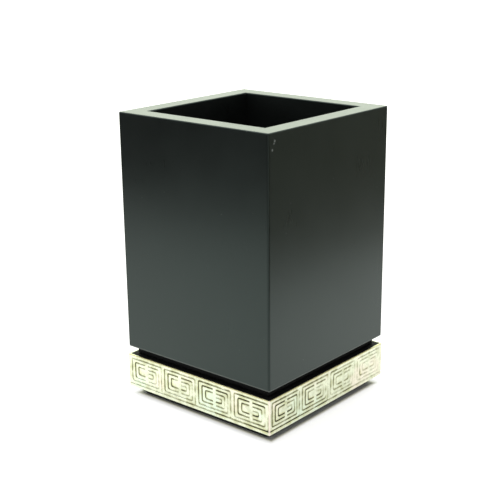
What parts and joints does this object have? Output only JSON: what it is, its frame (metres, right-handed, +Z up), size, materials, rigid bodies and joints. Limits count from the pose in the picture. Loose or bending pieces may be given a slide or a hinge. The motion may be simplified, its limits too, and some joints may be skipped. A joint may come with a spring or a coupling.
{
  "type": "pen holder",
  "caption": "Square open-topped desk cup of black lacquered boards on a recessed neck, over a base wrapped in an embossed metal fret band.",
  "frame": {"origin": "middle of the felt pad's underside, on the table", "axes": "+Z up, from the table to the open mouth; the cup's four faces look along +X, -X, +Y and -Y, and -Y is the front"},
  "size_m": [0.0766, 0.0766, 0.1204],
  "materials": {
    "black_lacquer": "wooden board under several coats of satin black lacquer, grain filled",
    "silver_band": "silver-plated brass strip, embossed, bright on the ridges and darkened in the grooves",
    "raw_wood": "bare hardwood",
    "screw_steel": "yellow zinc plated steel",
    "black_felt": "thin pressed wool felt"
  },
  "bodies": {
    "root": {"wall_front": "black_lacquer", "wall_right": "black_lacquer", "wall_back": "black_lacquer", "wall_left": "black_lacquer", "cup_floor": "black_lacquer", "neck_block": "black_lacquer", "base_board": "black_lacquer", "foot_plate": "black_lacquer", "band_front": "silver_band", "band_right": "silver_band", "band_back": "silver_band", "band_left": "silver_band", "mitre_spline_front_left": "raw_wood", "mitre_spline_front_right": "raw_wood", "mitre_spline_back_right": "raw_wood", "mitre_spline_back_left": "raw_wood", "screw_front_left": "screw_steel", "screw_front_right": "screw_steel", "screw_back_right": "screw_steel", "screw_back_left": "screw_steel", "felt_pad": "black_felt"}
  },
  "joints": []
}
